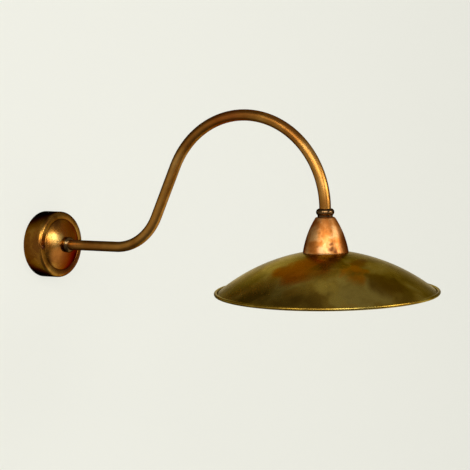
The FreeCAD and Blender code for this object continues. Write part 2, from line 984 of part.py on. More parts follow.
def lamp_nipple():
    low = -(s.cap_top + s.cap_boss_length - s.cap_wall)
    high = lamp_collar_length() - s.socket_depth
    return on_lamp(turned("lamp_nipple", ring_outline(s.nipple_bore, s.nipple_radius, low, high)))


def lamp_locknut():
    high = -s.cup_wall
    low = -(s.cap_top - s.seat_gap)
    return on_lamp(hex_nut("lamp_locknut", low, high))


def copper_cup():
    """Spun copper cup: a small crown, a long bellied side and an open base on the shade."""
    across, down = Size(math.sqrt(3) / 2, "sqrt(3) / 2"), 0.5
    wall = s.cup_wall
    bore = s.nipple_radius + s.screw_clearance
    shoulder = s.cup_crown_radius + s.cup_crown_round * across
    drop = s.cup_crown_round * down
    steps = [
        (bore, wall * 0),
        (s.cup_crown_radius, wall * 0),
        (shoulder, -drop, s.cup_crown_round, -1),
        (s.cup_base_radius, -s.cup_height, s.cup_side_radius, -1),
        (s.cup_base_radius - wall, -s.cup_height),
        (shoulder - wall * across, -drop - wall * down, s.cup_side_radius - wall, 1),
        (s.cup_crown_radius, -wall, s.cup_crown_round - wall, 1),
        (bore, -wall),
    ]
    return on_lamp(turned("copper_cup", steps))


def shade_face():
    """Height of the shade's flat centre, just under the cup's base."""
    return s.seat_gap - s.cup_height


def shade():
    """Spun dish with a flat centre and an edge rolled outwards into an open bead."""
    wall = s.shade_wall
    face = shade_face()
    bead = (s.shade_radius - s.rim_bead_radius, face - s.shade_drop)
    inside = s.rim_bead_radius - wall
    land = s.shade_land_radius

    def on_bead(radius, turned_by):
        angle = 270 - s.rim_slope + turned_by
        return bead[0] + radius * cosine(angle), bead[1] + radius * sine(angle)

    half_way, curl_end = s.rim_curl, s.rim_curl * 2
    steps = [
        (s.shade_hole_radius, face),
        (land, face),
        (*on_bead(inside, 0), s.shade_arc_radius, -1),
        (*on_bead(inside, half_way), inside, 1),
        (*on_bead(inside, curl_end), inside, 1),
        on_bead(s.rim_bead_radius, curl_end),
        (*on_bead(s.rim_bead_radius, half_way), s.rim_bead_radius, -1),
        (*on_bead(s.rim_bead_radius, 0), s.rim_bead_radius, -1),
        (land, face - wall, s.shade_arc_radius - wall, 1),
        (s.shade_hole_radius, face - wall),
    ]
    return on_lamp(turned("shade", steps))


def shade_ring():
    """Flanged ring screwed up the lampholder, which clamps the shade from below."""
    top = shade_face() - s.shade_wall - s.seat_gap
    bore = s.skirt_radius + s.thread_clearance
    neck = top - s.ring_flange_height
    foot = top - s.ring_height
    steps = [
        (bore, top),
        (s.ring_radius, top),
        (s.ring_radius, neck),
        (s.ring_grip_radius, neck),
        (s.ring_grip_radius, foot),
        (bore, foot),
    ]
    return on_lamp(turned("shade_ring", steps))


# ---------------------------------------------------------------- lampholder


def holder_cap():
    """Domed cap with a threaded boss, screwed over the top of the skirt."""
    bore = s.nipple_radius + s.thread_clearance
    inner = s.skirt_radius + s.thread_clearance
    outer = inner + s.cap_wall
    boss_foot = s.cap_top + s.cap_boss_length
    steps = [
        (bore, -s.cap_top),
        (s.cap_boss_radius, -s.cap_top),
        (s.cap_boss_radius, -boss_foot),
        (outer, -s.cap_shoulder, s.cap_dome_radius, -1),
        (outer, -s.cap_bottom),
        (inner, -s.cap_bottom),
        (inner, -s.cap_shoulder),
        (s.cap_boss_radius, -boss_foot - s.cap_wall, s.cap_dome_radius - s.cap_wall, 1),
        (bore, -boss_foot - s.cap_wall),
    ]
    return on_lamp(turned("holder_cap", steps))


def holder_skirt():
    """Threaded barrel with a flange on the shade, a ledge for the core and a lip at its mouth."""
    bore, radius = s.skirt_bore, s.skirt_radius
    flange_top = shade_face() + s.skirt_flange_height
    lip = s.liner_radius - s.ring_flange_height / 2
    steps = [
        (bore, -s.skirt_top),
        (radius, -s.skirt_top),
        (radius, flange_top),
        (s.skirt_flange_radius, flange_top),
        (s.skirt_flange_radius, shade_face()),
        (radius, shade_face()),
        (radius, -s.skirt_mouth),
        (lip, -s.skirt_mouth),
        (lip, s.skirt_lip_height - s.skirt_mouth),
        (bore, s.skirt_lip_height - s.skirt_mouth),
        (bore, -s.core_disc_bottom - s.skirt_ledge_height),
        (s.skirt_ledge_radius, -s.core_disc_bottom - s.skirt_ledge_height),
        (s.skirt_ledge_radius, -s.core_disc_bottom),
        (bore, -s.core_disc_bottom),
    ]
    return on_lamp(turned("holder_skirt", steps))


def holder_core():
    """Porcelain core with two wire holes from above and two screw holes from the side."""
    none = s.core_disc_radius * 0
    disc = [
        (none, -s.core_disc_bottom),
        (s.core_disc_radius, -s.core_disc_bottom),
        (s.core_disc_radius, -s.core_disc_top),
        (none, -s.core_disc_top),
    ]
    body = turned("holder_core", disc)
    wires = new_sketch(body, "XY_Plane", height=-s.core_disc_top)
    for side in (-1, 1):
        draw_circle(wires, (side * s.terminal_place, none), s.wire_hole_radius)
    pocket(body, wires, s.wire_hole_depth)
    for side in (-1, 1):
        bore = new_sketch(body, "YZ_Plane", height=side * s.terminal_place)
        reach = s.holder_screw_radius + s.thread_clearance
        draw_circle(bore, (none, -s.holder_screw_height), reach)
        pocket(body, bore, s.core_disc_radius, reverse=side > 0)
    return on_lamp(body)


def holder_screws():
    """Two clamp screws that come in from the core's side to the wires."""
    body = new_body("holder_screws")
    tip = s.terminal_place + s.core_radius + s.seat_gap
    shank = new_sketch(body, "YZ_Plane", height=tip)
    centre = (tip * 0, -s.holder_screw_height)
    draw_circle(shank, centre, s.holder_screw_radius)
    length = s.core_disc_radius - tip - s.driver_slot
    screw = pad(body, shank, length)
    cut = new_sketch(body, "YZ_Plane", height=tip + length)
    half = s.driver_slot / 3
    low = (-s.holder_screw_radius * 1.2, centre[1] - half)
    draw_box(cut, low, (s.holder_screw_radius * 1.2, centre[1] + half))
    slot = pocket(body, cut, s.driver_slot)
    mirror(body, [screw, slot])
    return on_lamp(body)


def screw_shell():
    """Brass shell that the lamp screws into, flanged under the core."""
    top = -s.core_disc_bottom
    outer = s.shell_bore + s.shell_wall
    steps = [
        (s.shell_hole_radius, top),
        (outer, top),
        (outer, top - s.shell_length),
        (s.shell_bore, top - s.shell_length),
        (s.shell_bore, top - s.shell_wall),
        (s.shell_hole_radius, top - s.shell_wall),
    ]
    return on_lamp(turned("screw_shell", steps))


def centre_contact():
    """Springy strip under the core, bent down to meet the lamp's eyelet."""
    body = new_body("centre_contact")
    top = -s.core_disc_bottom
    wall = s.contact_wall
    bend = -s.contact_root / 2
    tip = top - s.contact_dip
    sketch = new_sketch(body, "XZ_Plane")
    steps = [
        (-s.contact_root, top),
        (-s.contact_root, top - wall),
        (bend, top - wall),
        (s.contact_reach / 2, tip),
        (s.contact_reach, tip),
        (s.contact_reach, tip + wall),
        (s.contact_reach / 2, tip + wall),
        (bend, top),
    ]
    draw_path(sketch, steps, closed=True)
    pad(body, sketch, s.contact_width, symmetric=True)
    return on_lamp(body)


def skirt_liner():
    """Insulating sleeve between the brass shell and the metal skirt, resting on the lip."""
    low = s.skirt_lip_height - s.skirt_mouth + s.seat_gap
    high = -s.core_disc_bottom - s.skirt_ledge_height - s.seat_gap
    return on_lamp(turned("skirt_liner", ring_outline(s.liner_bore, s.liner_radius, low, high)))


# ---------------------------------------------------------------- globe lamp


def eyelet_face():
    """Top of the lamp, just under the centre contact's tip."""
    return -s.core_disc_bottom - s.contact_dip - s.contact_gap


def lamp_cap_face():
    return eyelet_face() - s.eyelet_height - s.insulator_height


def lamp_cap_foot():
    return lamp_cap_face() - s.lamp_cap_length


def lamp_eyelet():
    top = eyelet_face()
    none = top * 0
    steps = [
        (none, top - s.eyelet_height),
        (s.eyelet_radius, top - s.eyelet_height),
        (s.eyelet_radius, top - s.eyelet_height / 2),
        (s.eyelet_radius - s.eyelet_height / 2, top, s.eyelet_height / 2, 1),
        (none, top),
    ]
    return on_lamp(turned("lamp_eyelet", steps))


def lamp_insulator():
    """Fused glass disc between the eyelet and the screw cap."""
    top = eyelet_face() - s.eyelet_height
    none = top * 0
    steps = [
        (none, lamp_cap_face()),
        (s.insulator_radius, lamp_cap_face()),
        (s.eyelet_radius + s.eyelet_height / 2, top),
        (none, top),
    ]
    return on_lamp(turned("lamp_insulator", steps))


def lamp_cap():
    """Thin screw cap of the lamp, drawn in at its top."""
    top, foot = lamp_cap_face(), lamp_cap_foot()
    radius, wall = s.lamp_cap_radius, s.lamp_cap_wall
    steps = [
        (s.insulator_radius - s.lamp_cap_taper, top),
        (s.insulator_radius, top),
        (radius, top - s.lamp_cap_taper),
        (radius, foot),
        (radius - wall, foot),
        (radius - wall, top - s.lamp_cap_taper - wall),
        (s.insulator_radius - s.lamp_cap_taper, top - wall),
    ]
    return on_lamp(turned("lamp_cap", steps))


def lamp_glass():
    """Opal globe, blown with a neck that sits in the screw cap."""
    wall = s.glass_wall
    foot = lamp_cap_foot()
    plug = s.lamp_cap_radius - s.lamp_cap_wall - s.seat_gap
    neck_top = foot - s.seat_gap
    radius, angle = s.globe_radius, s.globe_join_angle
    join_radius = radius * cosine(angle)
    join_level = neck_top - s.glass_neck_length
    centre = join_level - radius * sine(angle)
    inside = radius - wall
    neck = s.glass_neck_radius
    none = wall * 0
    steps = [
        (plug - wall, foot + s.glass_plug_length),
        (plug, foot + s.glass_plug_length),
        (plug, neck_top),
        (neck, neck_top),
        (join_radius, join_level, s.globe_neck_sweep, 1),
        (radius, centre, radius, -1),
        (none, centre - radius, radius, -1),
        (none, centre - inside),
        (inside, centre, inside, 1),
        (inside * cosine(angle), centre + inside * sine(angle), inside, 1),
        (neck - wall, neck_top - wall, s.globe_neck_sweep + wall, -1),
        (plug - wall, neck_top),
    ]
    return on_lamp(turned("lamp_glass", steps))


# ---------------------------------------------------------------- the whole light


def build_all():
    lamp_seat = s.lamp_bead_height * 0
    pieces = [
        rose_cover(),
        mounting_bracket(),
        cover_screws(),
        root_washer(),
        root_locknut(),
        root_nipple(),
        on_wall(bead_collar("root_collar", dome_face(), s.root_bead_height)),
        arm_tube(),
        inner_lead(),
        rose_cores(),
        terminal_block(),
        terminal_barrels(),
        terminal_screws(),
        block_screws(),
        earth_tag(),
        earth_washer(),
        earth_screw(),
        on_lamp(bead_collar("lamp_collar", lamp_seat, s.lamp_bead_height)),
        lamp_nipple(),
        lamp_locknut(),
        copper_cup(),
        shade(),
        shade_ring(),
        holder_cap(),
        holder_skirt(),
        holder_core(),
        holder_screws(),
        holder_cores(),
        screw_shell(),
        centre_contact(),
        skirt_liner(),
        lamp_eyelet(),
        lamp_insulator(),
        lamp_cap(),
        lamp_glass(),
    ]
    doc.recompute()
    return pieces


def check_all(pieces):
    for item in doc.Objects:
        if "Invalid" in item.State or "Error" in item.State:
            raise RuntimeError(f"{item.Name} ({item.Label}) did not compute: {item.State}")
    for piece in pieces:
        if piece.Shape.isNull() or not piece.Shape.isValid():
            raise RuntimeError(f"{piece.Label} has no valid shape")


def write_all(pieces):
    os.makedirs("parts", exist_ok=True)
    for piece in pieces:
        piece.Shape.exportStep(f"parts/{piece.Label}.step")
        box = piece.Shape.optimalBoundingBox(False, False)
        print(
            f"{piece.Label}: {len(piece.Shape.Solids)} solid(s), {piece.Shape.Volume:.0f} mm3, "
            f"X {box.XMin:.1f}..{box.XMax:.1f} Y {box.YMin:.1f}..{box.YMax:.1f} "
            f"Z {box.ZMin:.1f}..{box.ZMax:.1f}"
        )


all_pieces = build_all()
check_all(all_pieces)
write_all(all_pieces)
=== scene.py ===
import math

import bpy
from mathutils import Matrix, Vector


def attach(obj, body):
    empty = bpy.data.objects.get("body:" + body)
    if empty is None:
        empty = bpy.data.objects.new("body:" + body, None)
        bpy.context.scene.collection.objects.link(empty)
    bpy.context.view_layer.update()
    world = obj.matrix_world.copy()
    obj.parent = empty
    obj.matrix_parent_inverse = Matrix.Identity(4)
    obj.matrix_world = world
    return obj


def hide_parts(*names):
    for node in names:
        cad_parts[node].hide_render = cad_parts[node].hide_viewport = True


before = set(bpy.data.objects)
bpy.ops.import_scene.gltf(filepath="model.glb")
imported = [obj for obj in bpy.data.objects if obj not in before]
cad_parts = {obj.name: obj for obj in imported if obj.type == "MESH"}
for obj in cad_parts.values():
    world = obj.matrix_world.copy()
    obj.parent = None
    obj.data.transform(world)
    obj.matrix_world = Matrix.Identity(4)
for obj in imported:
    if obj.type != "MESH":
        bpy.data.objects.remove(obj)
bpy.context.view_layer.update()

# ------------------------------------------------------------------ rose on the wall
# The rose is a brass cup, spun on a lathe and aged brown. Its rim is drafted, its shoulder is
# rounded, and a fine groove runs round a low dome. Two screws hold it to a bracket behind it.

# The lamp's axis stands this far from the wall, and the cup's top this high, in mm.
REACH, CROWN = 468.851, 49.993
WELD = 4e-6  # points closer than this, in metres, are one point


def deselect():
    for thing in bpy.context.selected_objects:
        thing.select_set(False)


def traced(steps):
    """Corners (r, z) and arcs (r, z, radius, turn) in mm as a fine closed outline.

    An arc's turn is 1 where it runs anticlockwise, and -1 where it runs clockwise.
    """
    longest_side, widest_turn = 2.5, 0.12
    points = [Vector(steps[0][:2])]
    for step in steps[1:] + steps[:1]:
        start, end = points[-1], Vector(step[:2])
        if len(step) == 4:
            radius, turn = step[2:]
            chord = end - start
            side = Vector((-chord.y, chord.x)).normalized() * turn
            centre = (start + end) / 2 + side * math.sqrt(max(radius**2 - chord.length**2 / 4, 0))
            first = math.atan2(start.y - centre.y, start.x - centre.x)
            sweep = 2 * math.asin(min(chord.length / 2 / radius, 1)) * turn
            by_length = math.ceil(abs(sweep) * radius / longest_side)
            count = max(4, by_length, math.ceil(abs(sweep) / widest_turn))
            for i in range(1, count):
                angle = first + sweep * i / count
                points.append(centre + radius * Vector((math.cos(angle), math.sin(angle))))
        points.append(end)
    return points


def finish_piece(piece, name, material, body="fixture"):
    """Names a piece, turns its faces outwards, gives it its metal and lets it ride."""
    piece.name = piece.data.name = name
    bpy.ops.object.mode_set(mode="EDIT")
    bpy.ops.mesh.select_all(action="SELECT")
    bpy.ops.mesh.remove_doubles(threshold=WELD)
    bpy.ops.mesh.delete_loose(use_verts=True, use_edges=True, use_faces=False)
    bpy.ops.mesh.select_all(action="SELECT")
    bpy.ops.mesh.normals_make_consistent(inside=False)
    bpy.ops.object.mode_set(mode="OBJECT")
    bpy.ops.object.shade_smooth_by_angle(angle=math.radians(32))
    piece.data.materials.clear()
    piece.data.materials.append(material)
    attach(piece, body)
    return piece


def soften(piece, width, segments=2):
    """Breaks the sharp corners of a piece, so that they catch the light."""
    rounding = piece.modifiers.new("edges", "BEVEL")
    rounding.width, rounding.segments = width / 1000, segments
    rounding.limit_method, rounding.angle_limit = "ANGLE", math.radians(38)
    bpy.ops.object.modifier_apply(modifier="edges")


def set_in_place(piece, end, aside=0):
    """Turns a piece made upright at the origin to the wall, or hangs it at the lamp end."""
    if end == "wall":
        piece.rotation_euler.x = math.pi / 2
        piece.location.x = aside / 1000
    else:
        piece.location = (0, -REACH / 1000, CROWN / 1000)
    bpy.ops.object.transform_apply(location=True, rotation=True, scale=True)


def drawn(points):
    """An outline of (r, z) points in mm, extruded point by point, and left in edit mode."""
    points = [Vector((p[0], 0, p[1])) / 1000 for p in points]
    deselect()
    bpy.ops.mesh.primitive_circle_add(vertices=3, radius=0.0001, location=points[0])
    piece = bpy.context.object
    bpy.ops.object.transform_apply(location=True)
    bpy.ops.object.mode_set(mode="EDIT")
    bpy.ops.mesh.merge(type="CENTER")
    for here, there in zip(points, points[1:]):
        bpy.ops.mesh.extrude_region_move(TRANSFORM_OT_translate={"value": there - here})
    bpy.ops.mesh.select_all(action="SELECT")
    return piece


def spun(name, steps, end, material, edge=0.2, around=160, body="fixture", aside=0):
    """Draws an outline, spins it round, softens its corners and sets it in place.

    Edge is the width in mm of its softened corners, and around the number of its sides.
    """
    piece = drawn(traced(steps))
    bpy.ops.mesh.spin(steps=around, angle=2 * math.pi, center=(0, 0, 0), axis=(0, 0, 1))
    bpy.ops.mesh.select_all(action="SELECT")
    bpy.ops.mesh.remove_doubles(threshold=WELD)
    bpy.ops.object.mode_set(mode="OBJECT")
    if edge:
        soften(piece, edge)
    set_in_place(piece, end, aside)
    return finish_piece(piece, name, material, body)


def colour(code):
    """An sRGB hex value as the linear colour that a shader takes."""
    parts = [int(code[i : i + 2], 16) / 255 for i in (1, 3, 5)]
    return [c / 12.92 if c <= 0.04045 else ((c + 0.055) / 1.055) ** 2.4 for c in parts] + [1]


def add(material, kind, settings=(), stops=(), **links):
    """Adds one node, with its settings, its plain inputs and its links from other sockets.

    The stops of a colour ramp are (position, colour).
    """
    node = material.node_tree.nodes.new(kind)
    for key, value in dict(settings).items():
        setattr(node, key, value)
    for _ in stops[2:]:
        node.color_ramp.elements.new(0.5)
    if stops:
        for element, (position, tint) in zip(node.color_ramp.elements, stops):
            element.position, element.color = position, tint
    for key, value in links.items():
        name = int(key[1:]) if key[1:].isdigit() else key.replace("_", " ")
        socket = node.inputs[name]
        if isinstance(value, bpy.types.NodeSocket):
            material.node_tree.links.new(value, socket)
        else:
            socket.default_value = value
    return node


def new_material(name):
    material = bpy.data.materials.new(name)
    material.use_nodes = True
    return material, material.node_tree.nodes["Principled BSDF"]


def link(material, output, socket):
    material.node_tree.links.new(output, socket)


def aged_metal(name, tints, blotch, rough, edge_tint, relief=0.12, stain=0.5, patches=(), wobble=12,
               soft=0.3):
    """Metal aged in a dip and rubbed back: cloudy tones, small stains, and soft patches by place,
    which are patina and, in some metals, painted shade and highlights.

    Blotch is the size of the clouds in mm, and the stains are 4.5 times as fine. A patch is
    (place in mm, reach in mm, colour, strength). Wobble is how far, in mm, the clouds push its
    edge, and soft is the share of its reach at which it begins to fade. The metal is smooth where
    it was rubbed, and rougher in the stains. Its edge tint is its colour where it turns away.
    """
    material, shader = new_material(name)
    place = add(material, "ShaderNodeTexCoord").outputs["Object"]
    clouds = add(material, "ShaderNodeTexNoise", Vector=place, Scale=1000 / blotch, Detail=4.0,
                 Roughness=0.5, Distortion=0.4)
    stains = add(material, "ShaderNodeTexNoise", Vector=place, Scale=4500 / blotch, Detail=5.0,
                 Roughness=0.65).outputs[0]
    dark, middle, light = [colour(tint) for tint in tints]
    tone = add(material, "ShaderNodeValToRGB", Fac=clouds.outputs[0],
               stops=((0.4, dark), (0.5, middle), (0.61, light))).outputs[0]
    drift = add(material, "ShaderNodeVectorMath", {"operation": "MULTIPLY_ADD"},
                _0=clouds.outputs[1], _1=[wobble / 500] * 3, _2=[-wobble / 1000] * 3)
    moved = add(material, "ShaderNodeVectorMath", {"operation": "ADD"}, _0=place,
                _1=drift.outputs[0])
    for centre, reach, tint, strength in patches:
        away = add(material, "ShaderNodeVectorMath", {"operation": "DISTANCE"}, _0=moved.outputs[0],
                   _1=[c / 1000 for c in centre])
        share = add(material, "ShaderNodeMapRange", {"interpolation_type": "SMOOTHSTEP"},
                    _0=away.outputs["Value"], _1=reach * soft / 1000, _2=reach / 1000,
                    _3=strength, _4=0.0)
        tone = add(material, "ShaderNodeMix", {"data_type": "RGBA"}, _0=share.outputs[0], _6=tone,
                   _7=colour(tint)).outputs[2]
    spots = add(material, "ShaderNodeValToRGB", Fac=stains,
                stops=((0.33, (0.42, 0.36, 0.3, 1)), (0.5, (1, 1, 1, 1)))).outputs[0]
    tone = add(material, "ShaderNodeMix", {"data_type": "RGBA", "blend_type": "MULTIPLY"},
               _0=stain, _6=tone, _7=spots).outputs[2]
    link(material, tone, shader.inputs["Base Color"])
    low, high = rough
    spread = add(material, "ShaderNodeMapRange", _0=stains, _1=0.35, _2=0.62, _3=high, _4=low)
    link(material, spread.outputs[0], shader.inputs["Roughness"])
    # Fine pits from the dip, drawn about 2 mm wide, coarser than the real ones.
    pits = add(material, "ShaderNodeTexNoise", Vector=place, Scale=500.0, Detail=3.0).outputs[0]
    bump = add(material, "ShaderNodeBump", Strength=relief, Distance=0.0003, Height=pits)
    link(material, bump.outputs[0], shader.inputs["Normal"])
    shader.inputs["Metallic"].default_value = 1.0
    shader.inputs["Specular Tint"].default_value = colour(edge_tint)
    return material


# Brass, spun and rubbed back after ageing. The paler gold on the upper left of the dome is a
# painted highlight tone, the dark red-brown low on its right is painted shade, and so is the dark
# at the top and bottom of the side.
rose_brass_painted_light = aged_metal(
    "aged_brass_with_painted_shade_and_highlight", ("#8A5420", "#A8702A", "#C08A3C"), 30, (0.26, 0.29), "#3A240E",
    relief=0.003, stain=0.22,
    patches=(
        # Painted highlight: the pale gold patch on the upper left of the dome. Painted shade: the
        # dark red-brown patch low on its right.
        ((2, -38, -2), 38, "#B46C28", 0.9), ((-18, -36, 8), 16, "#DCB060", 0.85),
        ((10, -36, -26), 36, "#7E3A1C", 0.9), ((8, -37, 22), 26, "#B86420", 0.9),
        ((-22, -36, -12), 16, "#C47A38", 0.7), ((30, -34, 4), 20, "#D08A30", 0.8),
        # Painted shade: the four dark patches at the top and bottom of the side.
        ((-20, 0, 46), 42, "#4C2E14", 0.9), ((20, 0, 46), 42, "#4C2E14", 0.9),
        ((-20, 0, -46), 40, "#4C2E14", 0.85), ((20, 0, -46), 40, "#4C2E14", 0.85),
    ),
)

rose = spun(
    "rose",
    [
        (49.2, 0.0), (49.0, 26.5), (44.5, 31.0, 4.5, 1), (38.5, 31.0), (37.95, 30.2),
        (37.4, 31.6), (13.0, 40.4, 85.0, 1), (5.2, 40.4), (5.2, 38.9), (13.0, 38.9),
        (36.65, 30.1, 85.0, -1), (37.4, 29.5), (45.25, 29.5), (47.5, 27.25, 2.25, -1), (47.7, 0.0),
    ],
    "wall", rose_brass_painted_light, edge=0.25, around=192,
)
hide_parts("rose_cover")

# ------------------------------------------------------------------ cover screws
# Two slotted round-head screws of bronzed brass hold the rose to the ears of the bracket. The
# slots are sawn, and lie level.

# Turned brass, bronzed red-brown in its dip, so that it stands out a little from the rose.
screw_metal = aged_metal(
    "bronzed_brass_screw", ("#6A3C24", "#7C4A30", "#8E5C42"), 6, (0.24, 0.32), "#20140C", stain=0.4
)
screw_place, slot_bottom, slot_width = 41.8, 32.2, 0.9
for name, place in (("cover_screw_left", -screw_place), ("cover_screw_right", screw_place)):
    outline = [
        (0.0, 22.0), (1.5, 22.0), (1.95, 22.5), (1.95, 31.0), (3.3, 31.0), (3.3, 31.1),
        (0.0, 33.4, 3.5, 1),
    ]
    screw = spun(name, outline, "wall", screw_metal, edge=0, around=48, aside=place)
    saw_depth = 2.4
    bpy.ops.mesh.primitive_cube_add(
        size=1, location=(place / 1000, -(slot_bottom + saw_depth / 2) / 1000, 0),
        scale=(0.01, saw_depth / 1000, slot_width / 1000),
    )
    saw = bpy.context.object
    slot = screw.modifiers.new("slot", "BOOLEAN")
    slot.operation, slot.object, slot.solver = "DIFFERENCE", saw, "EXACT"
    bpy.context.view_layer.objects.active = screw
    bpy.ops.object.modifier_apply(modifier="slot")
    bpy.data.objects.remove(saw)
    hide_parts("cover_screws")

# ------------------------------------------------------------------ arm
# The arm is one brass tube, 15 mm across, bent round two formers and brazed into a turned
# collar at each end. It was aged in a dip and rubbed along its length.


tube_radius, tube_wall = 7.5, 1.0
root_mouth, root_bend_start, root_bend_radius, rise_angle = 43.1, 133.0, 80.0, 64
slope_run, neck_bend_radius, neck_angle = 78, 121.0, 154
neck_height, end_run = CROWN + 12, 7.1


def arm_ring(distance):
    """A ring of points, as wide as the tube, at a distance in mm from the wall."""
    deselect()
    bpy.ops.mesh.primitive_circle_add(vertices=56, radius=tube_radius / 1000, location=(0, 0, 0))
    bpy.context.object.rotation_euler.x = math.pi / 2
    bpy.context.object.location.y = -distance / 1000
    bpy.ops.object.transform_apply(location=True, rotation=True)
    return bpy.context.object


def push(distance, height):
    """Draws the tube on, straight out from the wall and up, in mm."""
    value = (0, -distance / 1000, height / 1000)
    bpy.ops.mesh.extrude_region_move(TRANSFORM_OT_translate={"value": value})


def bend(distance, height, angle, steps):
    """Bends the tube on, by an angle in degrees, round a centre in mm."""
    centre = (0, -distance / 1000, height / 1000)
    bpy.ops.mesh.spin(steps=steps, angle=math.radians(angle), center=centre, axis=(1, 0, 0))


# Drawn brass, golden brown, satin from the rubbing, and redder over the top of the arch. It goes
# dark at its outlines.
tube_metal = aged_metal(
    "aged_brass_tube", ("#A4682A", "#BA8038", "#CC9650"), 60, (0.34, 0.38), "#080502",
    relief=0.006, stain=0.2,
    patches=(((0, -325, 182), 44, "#A4541A", 0.85), ((0, -185, 60), 60, "#B87420", 0.6)),
)
tube = arm_ring(root_mouth)
bpy.ops.object.mode_set(mode="EDIT")
bpy.ops.mesh.select_all(action="SELECT")
rise = math.radians(rise_angle)
push(root_bend_start - root_mouth, 0)
bend(root_bend_start, root_bend_radius, rise_angle, 36)
push(slope_run * math.cos(rise), slope_run * math.sin(rise))
bend(REACH - neck_bend_radius, neck_height, -neck_angle, 96)
push(0, -end_run)
bpy.ops.mesh.select_all(action="SELECT")
bpy.ops.mesh.normals_make_consistent(inside=False)
bpy.ops.object.mode_set(mode="OBJECT")
wall = tube.modifiers.new("wall", "SOLIDIFY")
wall.thickness, wall.offset, wall.use_rim = tube_wall / 1000, -1, True
bpy.ops.object.modifier_apply(modifier="wall")
finish_piece(tube, "arm", tube_metal)
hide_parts("arm_tube")

# ------------------------------------------------------------------ turned collars
# Two like collars, turned from brass bar: a short neck, a round bead and a socket in which
# the tube is brazed. They are darker than the tube, because the bead was never rubbed.

# Turned brass, bronzed: dark umber, with a painted highlight, a small pale spot on the bead by the
# rose.
bead_metal = aged_metal(
    "bronzed_brass_turned_painted_highlight", ("#6A4E30", "#84623C", "#9C784C"), 18, (0.22, 0.28), "#20140C",
    relief=0.01, stain=0.4, wobble=2,
    # The lamp bead gets a darker patch; the small pale spot on the root bead is a painted
    # highlight.
    patches=(((0, -469, 56), 14, "#5C4636", 0.9), ((-7, -44, 4), 6, "#E0B878", 0.9)),
)
for name, seat, bead, end in (("root_bead", 40.4, 4.2, "wall"), ("lamp_bead", 0.0, 6.4, "lamp")):
    mouth, socket_depth = seat + bead + 4.5, 6
    outline = [
        (5.05, seat), (9.8, seat), (9.8, seat + bead - 3.8), (8.471, mouth, 4.75, 1),
        (7.55, mouth), (7.55, mouth - socket_depth), (5.05, mouth - socket_depth),
    ]
    collar = spun(name, outline, end, bead_metal, edge=0.3, around=96)
    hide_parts({"wall": "root_collar", "lamp": "lamp_collar"}[end])

# ------------------------------------------------------------------ copper cup
# A copper cup, spun thin and left brighter than the brass. It slides over the lampholder and
# stands on the shade. Its sides are darkened with painted shade, and it has a few dark spots low in
# front.

# Copper, polished and lacquered to a satin: salmon and gold, with burnt spots of a few mm, painted
# shade on its sides and a painted highlight on its front.
copper = aged_metal(
    "polished_copper_painted_shade_and_highlight", ("#C87834", "#DC904A", "#EEB270"), 16, (0.42, 0.48), "#3A1C08",
    relief=0.05, stain=0.5, wobble=6,
    patches=(
        # Painted shade: the first two patches darken the two sides of the cup. The last, pale patch
        # is a painted highlight on its front.
        ((2, -498, 16), 25, "#8A4A18", 0.95), ((-14, -440, 18), 22, "#9A5418", 0.9),
        ((-21, -488, 11), 5, "#5E2E16", 0.85), ((-18, -491, 7), 4, "#6A3820", 0.85),
        ((-20, -487, 18), 3.5, "#6A3820", 0.8), ((-26, -474, 9), 8, "#F4C084", 0.7),
    ),
)
cup = spun(
    "cup",
    [
        (5.2, 0.0), (10.6, 0.0), (13.198, -1.5, 3.0, -1), (29.4, -45.2, 118.0, -1),
        (28.4, -45.2), (12.332, -2.0, 117.0, 1), (10.6, -1.0, 2.0, 1), (5.2, -1.0),
    ],
    "lamp", copper, edge=0.2, around=160,
)
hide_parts("copper_cup")

# ------------------------------------------------------------------ shade
# The shade is a shallow brass dish, spun from one disc, with its edge rolled outwards over a
# wire. It was aged dark, and its patina lies in olive and red-brown clouds.

# Spun brass with a dark patina: olive gold, with soft rust-brown and umber patches from the dip,
# and painted shade round the foot of the cup.
shade_metal = aged_metal(
    "antique_brass_patina_and_painted_shade", ("#8C6A24", "#AA8632", "#C2A44E"), 52, (0.26, 0.31), "#D8CEA8",
    relief=0.006, stain=0.3, wobble=40, soft=0.5,
    patches=(
        ((-72, -470, -9), 36, "#B45C10", 0.9), ((-74, -496, -10), 26, "#A8661C", 0.75),
        ((-85, -408, -22), 30, "#8A6A20", 0.7), ((-52, -500, 0), 26, "#7A5418", 0.8),
        ((-26, -530, -6), 24, "#8A4A10", 0.85), ((-100, -524, -27), 20, "#CCAC4C", 0.7),
        ((-50, -536, -9), 24, "#C07418", 0.85), ((-42, -570, -25), 26, "#7A5418", 0.85),
        ((-112, -490, -30), 22, "#B8882C", 0.6), ((-96, -540, -32), 14, "#C89C40", 0.7),
        # Painted shade: the umber patch round the foot of the cup.
        ((-24, -486, 2), 30, "#4A300E", 0.9),
    ),
)
face = -45.1  # the flat centre of the shade, below the cup's top
bead_radius, bead_drop, metal_thickness = 142.5, 50.8, 1.0
curl = 140  # half of the angle in degrees through which the edge is rolled


def on_bead(radius, turned):
    """A point on the rolled edge, turned by degrees from where the dish runs into it."""
    angle = math.radians(231 + turned)
    return bead_radius + radius * math.cos(angle), face - bead_drop + radius * math.sin(angle)


dish = spun(
    "dish",
    [
        (20.5, face), (27.4, face), (*on_bead(1.2, 0), 242.8, -1),
        (*on_bead(1.2, curl), 1.2, 1), (*on_bead(1.2, 2 * curl), 1.2, 1),
        on_bead(2.2, 2 * curl), (*on_bead(2.2, curl), 2.2, -1), (*on_bead(2.2, 0), 2.2, -1),
        (27.4, face - metal_thickness, 241.8, 1), (20.5, face - metal_thickness),
    ],
    "lamp", shade_metal, edge=0.15, around=288,
)
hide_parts("shade")

# ------------------------------------------------------------------ lampholder
# A metal lampholder clamps the shade between its flange and a turned ring. Seen from below are
# the ring, the skirt, the white sleeve in it, and the brass shell that the lamp screws into.

